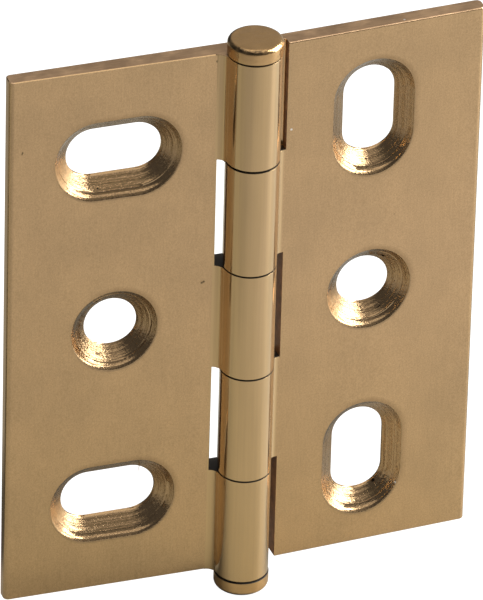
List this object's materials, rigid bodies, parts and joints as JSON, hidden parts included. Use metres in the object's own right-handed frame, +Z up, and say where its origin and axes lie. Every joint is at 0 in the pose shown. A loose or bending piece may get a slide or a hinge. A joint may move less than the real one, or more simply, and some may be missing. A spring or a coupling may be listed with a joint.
{
  "type": "butt hinge",
  "caption": "Solid drawn brass cabinet butt hinge with interleaved knuckles, button tips and countersunk round and slotted screw holes in both leaves.",
  "frame": {"origin": "on the pin axis, halfway up the barrel", "axes": "+Z up the pin axis, +X out along the right leaf, -Y out of the countersunk faces of the leaves, +Y towards their backs"},
  "size_m": [0.0407, 0.0055, 0.053],
  "materials": {
    "leaf_brass": "satin polished flat faces with a fine grain, polished barrel, machined countersinks",
    "tip_brass": "turned and polished",
    "pin_steel": "bright drawn wire"
  },
  "bodies": {
    "right_leaf": {"right_leaf": "leaf_brass"},
    "left_leaf": {"left_leaf": "leaf_brass", "hinge_pin": "pin_steel", "top_tip": "tip_brass", "bottom_tip": "tip_brass"}
  },
  "joints": [
    {"name": "hinge", "type": "hinge", "parent": "right_leaf", "child": "left_leaf", "pos_m": [0, 0, 0], "axis": [0, 0, 1], "range_deg": [-92.4, 182.6]}
  ]
}
